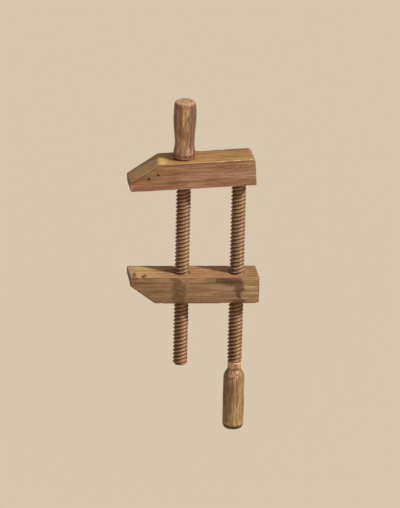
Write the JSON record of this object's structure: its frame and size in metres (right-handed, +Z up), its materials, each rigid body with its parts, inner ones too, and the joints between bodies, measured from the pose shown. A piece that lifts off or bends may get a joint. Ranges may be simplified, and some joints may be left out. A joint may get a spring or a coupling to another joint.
{
  "type": "sewing clamp",
  "caption": "Wooden handscrew clamp: jaws with sloped noses, drawn together by parallel threaded wooden screws with turned grips at opposite ends.",
  "frame": {"origin": "where the middle screw's axis crosses the lower jaw's gripping face", "axes": "+X from the jaws' tips to their tails, +Y from the front face to the back face, +Z up along the screws, square out of the lower jaw's gripping face"},
  "size_m": [0.165, 0.038, 0.4385],
  "materials": {
    "lower_jaw": "worn, oiled by use, stained in places",
    "upper_jaw": "worn, oiled by use",
    "screws": "worn, dark in the grooves",
    "middle_handle": "turned, polished by handling",
    "end_handle": "turned, lighter wood, polished by handling"
  },
  "bodies": {
    "lower_jaw": {"lower_jaw": "lower_jaw"},
    "upper_jaw": {"upper_jaw": "upper_jaw"},
    "middle_screw": {"middle_screw": "screws", "middle_handle": "middle_handle"},
    "end_screw": {"end_screw": "screws", "end_handle": "end_handle"}
  },
  "joints": [
    {"name": "jaw_slide", "type": "slide", "parent": "lower_jaw", "child": "upper_jaw", "axis": [0, 0, 1], "range_m": [-0.113, 0.085]},
    {"name": "middle_screw_turn", "type": "hinge", "parent": "upper_jaw", "child": "middle_screw", "pos_m": [0, 0, 0], "axis": [0, 0, 1], "range_deg": [-4004, 3012]},
    {"name": "end_screw_turn", "type": "hinge", "parent": "upper_jaw", "child": "end_screw", "pos_m": [0.068, 0, 0], "axis": [0, 0, 1], "range_deg": [-4004, 3012]}
  ],
  "couplings": [
    {"joint": "middle_screw_turn", "follows": "jaw_slide", "rad_per_m": 618.42},
    {"joint": "end_screw_turn", "follows": "jaw_slide", "rad_per_m": 618.42}
  ]
}
